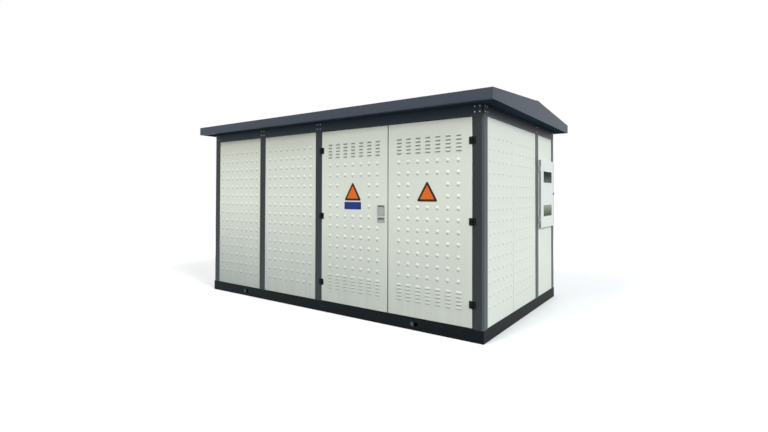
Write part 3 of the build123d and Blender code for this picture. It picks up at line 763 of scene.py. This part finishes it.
def dimple_tree():
    """A grid of pressed dimples on a wall, leaving out those in two gaps."""
    graph, given = new_tree("pressed_dimples", {
        "Int": ["Columns", "Rows"],
        "Float": ["Column Pitch", "Row Pitch", "Width", "Height"],
        "Vector": ["Gap 1", "Gap 1 Size", "Gap 2", "Gap 2 Size", "Place", "Turn"],
        "Material": ["Material"],
    })
    field = graph.add("GeometryNodeMeshGrid", {
        "Size X": (given["Columns"] - 1) * given["Column Pitch"],
        "Size Y": (given["Rows"] - 1) * given["Row Pitch"],
        "Vertices X": given["Columns"], "Vertices Y": given["Rows"],
    })
    where = graph.add("GeometryNodeInputPosition")
    outside = [outside_gap(graph, where, given[f"Gap {n}"], given[f"Gap {n} Size"]) for n in (1, 2)]
    radius = given["Width"] / 2
    cone = graph.add("GeometryNodeMeshCone", {
        "Vertices": DIMPLE_SIDES, "Side Segments": DIMPLE_RINGS, "Radius Top": 0.0,
        "Radius Bottom": radius, "Depth": given["Height"],
    }, fill_type="NONE")
    x, y, _ = graph.parts(where)
    share = (graph.length(graph.joined(x, y, 0.0)) / (radius * DIMPLE_FLAT_RING)).least(1.0)
    rise = (share.power(DIMPLE_CROWN) * math.pi).cosine() * 0.5 + 0.5
    pressed = graph.add("GeometryNodeSetPosition", {
        "Geometry": cone, "Position": graph.joined(x, y, rise * given["Height"] - DIMPLE_SINK),
    })
    smooth = graph.add("GeometryNodeSetShadeSmooth", {0: pressed})
    dots = graph.add("GeometryNodeInstanceOnPoints", {
        "Points": field, "Selection": outside[0] * outside[1], "Instance": smooth,
    })
    turn = graph.add("FunctionNodeEulerToRotation", {0: given["Turn"]})
    placed = graph.add("GeometryNodeTransform", {
        "Geometry": dots, "Translation": given["Place"], "Rotation": turn,
    })
    return end_tree(graph, placed, given["Material"])


def outside_gap(graph, where, middle, size):
    """1 on points outside a rectangle, and 0 inside it."""
    x, y, _ = graph.parts(graph.vector_math("SUBTRACT", where, middle))
    width, height, _ = graph.parts(size)
    return 1.0 - (x.size() < width / 2) * (y.size() < height / 2)


def wall_axis(side):
    """The axis that runs along a wall: 0 for x and 1 for y."""
    return 0 if side in ("front", "back") else 1


def wall_point(side, along, out, up):
    """A point on a wall: along in the row frame's x or y, out from its face."""
    if wall_axis(side):
        return Vector((RIGHT_FACE_X + out if side == "right" else LEFT_FACE_X - out, along, up))
    return Vector((along, FRONT_FACE_Y - out if side == "front" else BACK_FACE_Y + out, up))


def leaf_gaps(sizes, leaf):
    """Places without dimples on a leaf, as (middle, size): behind its plates, and round the lock."""
    middle, pitch, row = node_middle(leaf, 0), sizes.leaf_pitch, sizes.row_pitch
    top_row = sizes.leaf_first_row + (sizes.leaf_rows - 1) * row
    if leaf == "right_door_leaf":
        return [((middle, top_row - 2.5 * row), (3 * pitch, 2 * row))]
    return [
        ((middle, top_row - 3 * row), (3 * pitch, 3 * row)),
        ((middle + 3 * pitch, top_row - 4.5 * row), (pitch, 2 * row)),
    ]


class SUBSTATION_OT_press_dimples(bpy.types.Operator):
    """Press the rows of round dimples into the panels and leaves"""

    bl_idname = "substation.press_dimples"
    bl_label = "Press Dimples"

    def execute(self, context):
        sizes = context.scene.substation_dimples
        paint = frame["nodes"]["front_outer_panel"].data.materials[0]
        graph = dimple_tree()

        def press(name, body, side, nodes, columns, pitch, rows, first_row, gaps=()):
            axis = wall_axis(side)
            middle_z = first_row + (rows - 1) * sizes.row_pitch / 2
            meshes = []
            for node in nodes:
                along = node_middle(node, axis) + GRID_SHIFTS.get(node, 0.0)
                recess = 0.0 if node in LEAF_BODIES else PANEL_RECESS
                values = {
                    "Columns": columns, "Rows": rows, "Column Pitch": pitch, "Row Pitch": sizes.row_pitch,
                    "Width": sizes.width, "Height": sizes.end_height if axis else sizes.height,
                    "Place": wall_point(side, along, -recess, middle_z),
                    "Turn": (math.pi / 2, 0.0, HEADINGS[side]), "Material": paint,
                }
                for n, (middle, size) in zip((1, 2), (*gaps, NO_GAP, NO_GAP)):
                    values[f"Gap {n}"] = (middle[0] - along, middle[1] - middle_z, 0.0)
                    values[f"Gap {n} Size"] = (*size, 0.0)
                meshes.append(grown_mesh(graph, values))
            place_piece(name, joined_mesh(name, meshes, paint), body)

        panel = (sizes.panel_columns, sizes.panel_pitch, sizes.panel_rows, sizes.first_row)
        end = (sizes.end_columns, sizes.end_pitch, sizes.panel_rows, sizes.first_row)
        leaf_grid = (sizes.leaf_columns, sizes.leaf_pitch, sizes.leaf_rows, sizes.leaf_first_row)
        for side, nodes, grid in (
            ("front", ["front_outer_panel", "front_inner_panel"], panel),
            ("back", [f"back_panel_{n}" for n in (1, 2, 3, 4)], panel),
            ("left", ["left_front_panel", "left_middle_panel"], end),
            ("right", ["right_front_panel", "right_middle_panel"], end),
        ):
            press(f"{side}_dimples", "housing", side, nodes, *grid)
        for leaf, body in LEAF_BODIES.items():
            press(f"{leaf}_dimples", body, "front", [leaf], *leaf_grid, leaf_gaps(sizes, leaf))
        return {"FINISHED"}


# Bolts and screws
FASTENER_INPUTS = {
    "Float": ["Head Radius", "Head Height", "Washer Radius", "Washer Height"],
    "Int": ["Sides"],
    "Material": ["Material"],
}
BOLT_SIDES, SCREW_SIDES, WASHER_SIDES = 6, 16, 20
# Flat top of a screw's head, and height of its rim, as shares of the head's radius and height
SCREW_TOP, SCREW_RIM = 0.8, 0.5
# Crown of a head: radius at its foot and top, and height, as shares of the head's
CROWN_FOOT, CROWN_TOP, CROWN_HEIGHT = 0.86, 0.68, 0.16
CORNER_SHIFT = 0.009
HINGE_PLATE_REACH = 0.021
HINGE_SCREW_SPREAD = 0.040
HINGE_PLATE_FACE = 0.0055
BETWEEN_HINGES = 0.2


def fastener_tree():
    """A washer, a hexagon and its chamfered crown on each point, facing out along "facing"."""
    graph, given = new_tree("fasteners", FASTENER_INPUTS)
    radius, height, washer, thick, sides, material = (
        given[label] for labels in FASTENER_INPUTS.values() for label in labels
    )
    join = graph.tree.nodes.new("GeometryNodeJoinGeometry")
    for kind, lift, sockets in (
        ("Cylinder", thick / 2, {"Vertices": WASHER_SIDES, "Radius": washer, "Depth": thick}),
        ("Cylinder", thick + height / 2, {"Vertices": sides, "Radius": radius, "Depth": height}),
        ("Cone", thick + height, {
            "Vertices": WASHER_SIDES, "Radius Bottom": radius * CROWN_FOOT, "Radius Top": radius * CROWN_TOP,
            "Depth": height * CROWN_HEIGHT,
        }),
    ):
        shape = graph.add(f"GeometryNodeMesh{kind}", sockets)
        lifted = graph.add("GeometryNodeTransform", {
            "Geometry": shape, "Translation": graph.joined(0.0, 0.0, lift),
        })
        graph.tree.links.new(lifted.socket, join.inputs[0])
    facing = graph.add("GeometryNodeInputNamedAttribute", {0: "facing"}, data_type="FLOAT_VECTOR")
    turned = graph.add("FunctionNodeAlignRotationToVector", {"Vector": facing}, axis="Z")
    points = graph.add("GeometryNodeInstanceOnPoints", {
        "Points": given["Geometry"], "Instance": Wire(graph, join.outputs[0]), "Rotation": turned,
    })
    return end_tree(graph, points, material)


def point_mesh(places):
    """Loose vertices, each with the direction that it faces."""
    mesh = bpy.data.meshes.new("places")
    mesh.from_pydata([place for place, _ in places], [], [])
    facing = mesh.attributes.new("facing", "FLOAT_VECTOR", "POINT")
    for value, (_, direction) in zip(facing.data, places):
        value.vector = direction
    return mesh


def post_bolt_places(sizes):
    """Two rows of two bolts at the top of each post, on both faces of the corner posts."""
    places = []
    for side, heading in HEADINGS.items():
        outward = Vector((round(math.sin(heading)), -round(math.cos(heading)), 0))
        for post in SECTION_NODES:
            if not post.endswith("_post") or side not in post.split("_"):
                continue
            middle = node_middle(post, wall_axis(side))
            if "corner" in post:
                middle -= math.copysign(CORNER_SHIFT, middle)
            places += [
                (wall_point(side, middle + step, 0.0, RAIL_TOP - sizes.bolt_top - drop), outward)
                for step in (-sizes.bolt_spacing / 2, sizes.bolt_spacing / 2)
                for drop in (0.0, sizes.bolt_row_gap)
            ]
    return places


def hinge_screw_places(axis_x, side, heights):
    """Two screws on each hinge plate, on one side of its pin."""
    face = FRONT_FACE_Y - HINGE_PLATE_FACE
    return [
        (Vector((axis_x + side * HINGE_PLATE_REACH, face, height + step)), Vector((0, -1, 0)))
        for height in heights
        for step in (-HINGE_SCREW_SPREAD / 2, HINGE_SCREW_SPREAD / 2)
    ]


def joint_x(name):
    return next(joint["pos_m"][0] for joint in frame["joints"] if joint["name"] == name)


def hinge_heights():
    """Middle heights of the three hinges of a leaf, from their plates' corners."""
    levels = sorted({round(vertex.co.z, 3) for vertex in frame["nodes"]["left_hinge_leaves"].data.vertices})
    groups = [[levels[0]]]
    for level in levels[1:]:
        if level - groups[-1][-1] > BETWEEN_HINGES:
            groups.append([])
        groups[-1].append(level)
    return [(group[0] + group[-1]) / 2 for group in groups]


class SUBSTATION_OT_set_fasteners(bpy.types.Operator):
    """Set the bolts at the post tops and the screws of the hinges"""

    bl_idname = "substation.set_fasteners"
    bl_label = "Set Fasteners"

    def execute(self, context):
        sizes = context.scene.substation_fasteners
        colours = context.scene.substation_colours
        bolt = {
            "Head Radius": sizes.bolt_radius, "Head Height": sizes.bolt_height, "Sides": BOLT_SIDES,
            "Washer Radius": sizes.washer_radius, "Washer Height": sizes.washer_height,
            "Material": zinc_plate(colours),
        }
        screw = {
            "Head Radius": sizes.screw_radius * SCREW_TOP, "Head Height": sizes.screw_height,
            "Washer Radius": sizes.screw_radius, "Washer Height": sizes.screw_height * SCREW_RIM,
            "Sides": SCREW_SIDES, "Material": powder_coat("screw_black", colours.hinge, 0.35),
        }
        graph = fastener_tree()
        heights = hinge_heights()
        left, right = joint_x("left_leaf_hinge"), joint_x("right_leaf_hinge")
        on_posts = hinge_screw_places(left, -1, heights) + hinge_screw_places(right, 1, heights)
        for name, body, values, places in (
            ("post_bolts", "housing", bolt, post_bolt_places(sizes)),
            ("post_hinge_screws", "housing", screw, on_posts),
            ("left_hinge_screws", "left_leaf", screw, hinge_screw_places(left, 1, heights)),
            ("right_hinge_screws", "right_leaf", screw, hinge_screw_places(right, -1, heights)),
        ):
            mesh = joined_mesh(name, [grown_mesh(graph, values, point_mesh(places))], values["Material"])
            place_piece(name, mesh, body)
        return {"FINISHED"}


# Bare plates
ARC_STEPS = 6
INNER_CORNER = 0.4
THIRD = 2 * math.pi / 3


def rounded_outline(corners, radius):
    """Closed outline with each corner of a convex polygon turned to an arc."""
    outline = []
    for index, corner in enumerate(corners):
        before = (corners[index - 1] - corner).normalized()
        after = (corners[(index + 1) % len(corners)] - corner).normalized()
        half_turn = before.angle(after) / 2
        centre = corner + (before + after).normalized() * radius / math.sin(half_turn)
        start, stop = (corner + way * radius / math.tan(half_turn) - centre for way in (before, after))
        sweep = -start.angle_signed(stop)
        for step in range(ARC_STEPS + 1):
            outline.append(centre + Matrix.Rotation(sweep * step / ARC_STEPS, 2) @ start)
    return outline


def rectangle(left, right, low, high):
    return [Vector(corner) for corner in ((left, low), (right, low), (right, high), (left, high))]


def triangle(side, inset):
    """Corners of an upright triangle round its own middle, moved in by inset."""
    reach = side / math.sqrt(3) - 2 * inset
    return [Vector((reach * math.sin(turn), reach * math.cos(turn))) for turn in (0.0, -THIRD, THIRD)]


def band(shape, first, second):
    """Faces between two rings of as many vertices."""
    pairs = list(zip(first, second))
    return [
        shape.faces.new([rear, next_rear, next_face, face])
        for (rear, face), (next_rear, next_face) in zip(pairs, pairs[1:] + pairs[:1])
    ]


def plate_mesh(name, layers, *materials):
    """Mesh of flat layers, each (outline, middle, back, front), from the leaves' face outwards."""
    shape = bmesh.new()
    for index, (outline, middle, back, front) in enumerate(layers):
        rear, face = (
            [shape.verts.new((middle.x + spot.x, FRONT_FACE_Y - out, middle.y + spot.y)) for spot in outline]
            for out in (back, front)
        )
        for made in (shape.faces.new(face), shape.faces.new(rear[::-1]), *band(shape, rear, face)):
            made.material_index = index
    bmesh.ops.recalc_face_normals(shape, faces=shape.faces)
    return mesh_of(shape, name, *materials)


class SUBSTATION_OT_fix_plates(bpy.types.Operator):
    """Fix the bare triangular plates and the bare notice plate to the leaves"""

    bl_idname = "substation.fix_plates"
    bl_label = "Fix Plates"

    def execute(self, context):
        sizes = context.scene.substation_plates
        colours = context.scene.substation_colours
        rim = enamel("plate_rim_enamel", colours.rim)
        orange = enamel("orange_enamel", colours.orange)
        outer = rounded_outline(triangle(sizes.side, 0.0), sizes.corner)
        inner = rounded_outline(triangle(sizes.side, sizes.rim), sizes.corner * INNER_CORNER)
        raised = sizes.thickness + sizes.relief
        for side, x in (("left", sizes.left_x), ("right", sizes.right_x)):
            middle = Vector((x, sizes.base_z + sizes.side / (2 * math.sqrt(3))))
            layers = [(outer, middle, 0.0, sizes.thickness), (inner, middle, sizes.thickness, raised)]
            name = f"{side}_triangle_plate"
            place_piece(name, plate_mesh(name, layers, rim, orange), f"{side}_leaf")
        wide, high = sizes.notice_width / 2, sizes.notice_height / 2
        outline = rounded_outline(rectangle(-wide, wide, -high, high), sizes.notice_corner)
        layers = [(outline, Vector((sizes.left_x, sizes.notice_z)), 0.0, sizes.thickness)]
        mesh = plate_mesh("notice_plate", layers, enamel("blue_enamel", colours.blue))
        place_piece("notice_plate", mesh, "left_leaf")
        return {"FINISHED"}


# Frames of the windows
ROUND_OFF = 0.6


def pane_boxes():
    """Lowest and highest y and z of the two panes, the lower one first."""
    low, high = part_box("meter_window_panes")
    middle = (low.z + high.z) / 2
    heights = [vertex.co.z for vertex in frame["nodes"]["meter_window_panes"].data.vertices]
    lower_top = max(height for height in heights if height < middle)
    upper_foot = min(height for height in heights if height > middle)
    return [(low.y, high.y, low.z, lower_top), (low.y, high.y, upper_foot, high.z)]


def window_frame(shape, window, sizes, face_x, pane_x):
    """Add a frame to a shape: from its lip on the door, over its crest, to its foot at the pane."""
    left, right, foot, head = window
    opening = (left + sizes.jamb, right - sizes.jamb, foot + sizes.sill, head - sizes.head)

    def ring(edges, out, x):
        low_y, high_y, low_z, high_z = edges
        corners = rectangle(low_y - out, high_y + out, low_z - out, high_z + out)
        return [shape.verts.new((x, *point)) for point in rounded_outline(corners, sizes.corner + out)]

    round_off = sizes.proud * ROUND_OFF
    crest_x = face_x + sizes.proud
    rings = [
        ring(window, sizes.lip, face_x), ring(window, sizes.lip, face_x + round_off),
        ring(window, sizes.lip - round_off, crest_x), ring(opening, round_off, crest_x),
        ring(opening, 0.0, crest_x - round_off), ring(opening, 0.0, pane_x),
    ]
    for outer, inner in zip(rings, rings[1:]):
        band(shape, outer, inner)


class SUBSTATION_OT_fit_window_frames(bpy.types.Operator):
    """Fit the thin painted frames round the windows of the meter box's door"""

    bl_idname = "substation.fit_window_frames"
    bl_label = "Fit Window Frames"

    def execute(self, context):
        sizes = context.scene.substation_windows
        shape = bmesh.new()
        for left, right, foot, head in pane_boxes():
            window = (left + sizes.lap, right - sizes.lap, foot + sizes.lap, head - sizes.lap)
            window_frame(shape, window, sizes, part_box("meter_door")[1].x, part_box("meter_window_panes")[1].x)
        bmesh.ops.recalc_face_normals(shape, faces=shape.faces)
        mesh = mesh_of(shape, "window_frames", frame["nodes"]["meter_door"].data.materials[0])
        place_piece("window_frames", mesh, "meter_door")
        return {"FINISHED"}


# Studio
FLOOR_SIZE = 60.0
FLOOR_FADE = (5.0, 13.0)
FLOOR_FOR_LIGHT, FLOOR_SEEN = (0.19, 0.19, 0.185), (0.94, 0.94, 0.94)
SKY_COLOUR, WHITE = (0.97, 0.99, 1.0, 1.0), (1.0, 1.0, 1.0, 1.0)
SKY_AT_HORIZON, SKY_OVERHEAD, BACK_SKY = 0.60, 1.60, 1.9
FRONT_LAMP_SHINES = Vector((0.30, 0.74, -0.60))
END_LAMP_SHINES = Vector((-0.80, 0.12, -0.60))
END_LAMP_COLOUR = (0.96, 1.0, 1.04)
LAMP_SPREAD = math.radians(24)


def empty_tree(owner):
    """The emptied node tree of a material or world."""
    owner.use_nodes = True
    owner.node_tree.nodes.clear()
    return Graph(owner.node_tree)


def seen_ray(graph):
    """1 for rays of the camera, of reflections and through glass, and 0 for other light."""
    path = graph.add("ShaderNodeLightPath", output="Is Camera Ray")
    glossy, through = graph.others(path, "Is Glossy Ray"), graph.others(path, "Is Transmission Ray")
    return path.most(glossy).most(through)


def floor_material():
    """Pale floor with the object's shadow, which fades to plain white further out."""
    material = bpy.data.materials.new("pale_floor")
    graph = empty_tree(material)
    seen = seen_ray(graph)
    tone = graph.blend(seen, FLOOR_FOR_LIGHT, FLOOR_SEEN)
    matt = graph.add("ShaderNodeBsdfDiffuse", {"Color": tone})
    white = graph.add("ShaderNodeEmission", {"Color": WHITE, "Strength": 1.0})
    far = graph.ramp(graph.length(graph.add("ShaderNodeTexCoord", output="Object")), *FLOOR_FADE)
    mixed = graph.add("ShaderNodeMixShader", {0: far * seen, 1: matt, 2: white})
    graph.add("ShaderNodeOutputMaterial", {"Surface": mixed})
    return material


def make_world(strength):
    """White to the eye; for the light, a soft sky, brighter overhead and behind the back and left."""
    world = bpy.data.worlds.new("soft_sky")
    graph = empty_tree(world)
    x, y, up = graph.parts(graph.add("ShaderNodeTexCoord", output="Generated"))
    level = graph.ramp(up, 0.0, 0.9, SKY_AT_HORIZON, SKY_OVERHEAD)
    level = level * graph.ramp(y * 0.8 - x * 0.6, 0.25, 0.85, 1.0, BACK_SKY) * strength
    sky = graph.add("ShaderNodeBackground", {"Color": SKY_COLOUR, "Strength": level})
    white = graph.add("ShaderNodeBackground", {"Color": WHITE, "Strength": 1.0})
    mixed = graph.add("ShaderNodeMixShader", {0: seen_ray(graph), 1: sky, 2: white})
    graph.add("ShaderNodeOutputWorld", {"Surface": mixed})
    bpy.context.scene.world = world


def aim(shown, direction, roll=0.0):
    """Point a camera or lamp along a direction."""
    shown.rotation_mode = "QUATERNION"
    shown.rotation_quaternion = direction.to_track_quat("-Z", "Y") @ Quaternion((0, 0, 1), roll)


def make_camera(studio):
    data = bpy.data.cameras.new("camera")
    data.sensor_width = SENSOR_WIDTH
    data.lens = studio.focal_pixels / IMAGE_WIDTH * SENSOR_WIDTH
    data.shift_x = (IMAGE_WIDTH / 2 - studio.principal_x) / IMAGE_WIDTH
    data.shift_y = (studio.principal_y - IMAGE_HEIGHT / 2) / IMAGE_WIDTH
    camera = in_scene("camera", data)
    level = math.cos(studio.pitch)
    direction = (math.sin(studio.heading) * level, math.cos(studio.heading) * level, math.sin(studio.pitch))
    aim(camera, Vector(direction), studio.roll)
    camera.location = studio.camera_place
    bpy.context.scene.camera = camera


def make_lamp(name, shines, strength, colour=(1.0, 1.0, 1.0)):
    data = bpy.data.lights.new(name, "SUN")
    data.energy = strength
    data.color = colour
    data.angle = LAMP_SPREAD
    aim(in_scene(name, data), shines)


class SUBSTATION_OT_set_stage(bpy.types.Operator):
    """Set the pale floor, the soft light and the camera"""

    bl_idname = "substation.set_stage"
    bl_label = "Set Stage"

    def execute(self, context):
        studio = context.scene.substation_studio
        half = FLOOR_SIZE / 2
        mesh = bpy.data.meshes.new("studio_floor")
        mesh.from_pydata([(*corner, 0) for corner in rectangle(-half, half, -half, half)], [], [range(4)])
        mesh.materials.append(floor_material())
        floor = in_scene("studio_floor", mesh)
        make_world(studio.sky)
        make_lamp("front_lamp", FRONT_LAMP_SHINES, studio.front_lamp)
        make_lamp("end_lamp", END_LAMP_SHINES, studio.end_lamp, END_LAMP_COLOUR)
        make_camera(studio)
        context.scene.view_settings.view_transform = "Standard"
        return {"FINISHED"}


class SUBSTATION_PT_sidebar(bpy.types.Panel):
    """Lists the steps that dress the housing"""

    bl_idname = "SUBSTATION_PT_sidebar"
    bl_label = "Box Substation Housing"
    bl_space_type = "VIEW_3D"
    bl_region_type = "UI"
    bl_category = "Substation"

    def draw(self, context):
        for step in STEPS:
            self.layout.operator(step.bl_idname)


STEPS = (
    SUBSTATION_OT_finish_sheet_metal,
    SUBSTATION_OT_press_dimples,
    SUBSTATION_OT_set_fasteners,
    SUBSTATION_OT_fix_plates,
    SUBSTATION_OT_fit_window_frames,
    SUBSTATION_OT_set_stage,
)
SETTINGS = {
    "substation_colours": PaintColours,
    "substation_dimples": DimpleSizes,
    "substation_fasteners": FastenerSizes,
    "substation_plates": PlateSizes,
    "substation_windows": WindowFrameSizes,
    "substation_bends": EdgeBends,
    "substation_studio": StudioSettings,
}
CLASSES = (*SETTINGS.values(), *STEPS, SUBSTATION_PT_sidebar)


def register():
    for cls in CLASSES:
        bpy.utils.register_class(cls)
    for name, group in SETTINGS.items():
        setattr(bpy.types.Scene, name, PointerProperty(type=group))


def unregister():
    for name in SETTINGS:
        delattr(bpy.types.Scene, name)
    for cls in reversed(CLASSES):
        bpy.utils.unregister_class(cls)


def main():
    register()
    bpy.ops.substation.finish_sheet_metal()
    bpy.ops.substation.press_dimples()
    bpy.ops.substation.set_fasteners()
    bpy.ops.substation.fix_plates()
    bpy.ops.substation.fit_window_frames()
    bpy.ops.substation.set_stage()


if __name__ == "__main__":
    main()
